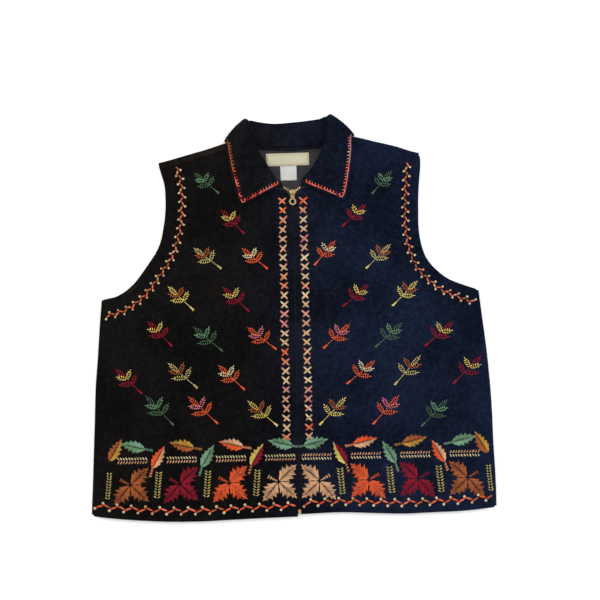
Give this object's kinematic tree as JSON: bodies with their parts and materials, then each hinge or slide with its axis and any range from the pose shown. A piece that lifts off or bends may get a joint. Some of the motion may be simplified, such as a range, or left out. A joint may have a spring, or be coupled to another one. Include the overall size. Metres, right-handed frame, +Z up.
{
  "type": "embroidered folk vest",
  "caption": "Sleeveless zip-front vest in black felted wool with a folded collar, laid flat, worked in bright thread with leafy sprigs and a flower border along the hem.",
  "frame": {"origin": "on the flat underside of the back panel, under the centre front line, 293 mm above the hem at the zip", "axes": "+X to the right seen from above with the collar away, +Y from hem to collar, +Z up out of the front"},
  "size_m": [0.6073, 0.6058, 0.0157],
  "materials": {
    "wool": "felted, slightly fuzzy",
    "lining": "smooth woven",
    "label_cream": "woven satin",
    "label_white": "plain tape",
    "zip_tape": "twill tape",
    "brass": "antique, dulled"
  },
  "bodies": {
    "garment": {"back": "wool", "back_lining": "lining", "front_left": "wool", "front_right": "wool", "collar": "wool", "main_label": "label_cream", "size_label": "label_white", "zip_tape_left": "zip_tape", "zip_tape_right": "zip_tape", "zip_teeth_left": "brass", "zip_teeth_right": "brass", "zip_slider": "brass", "zip_box": "brass"},
    "pull_tab": {"zip_pull": "brass"}
  },
  "joints": [
    {"name": "pull_hinge", "type": "hinge", "parent": "garment", "child": "pull_tab", "pos_m": [0, 0.1884, 0.00945], "axis": [-1, 0, 0], "range_deg": [0, 160]}
  ]
}
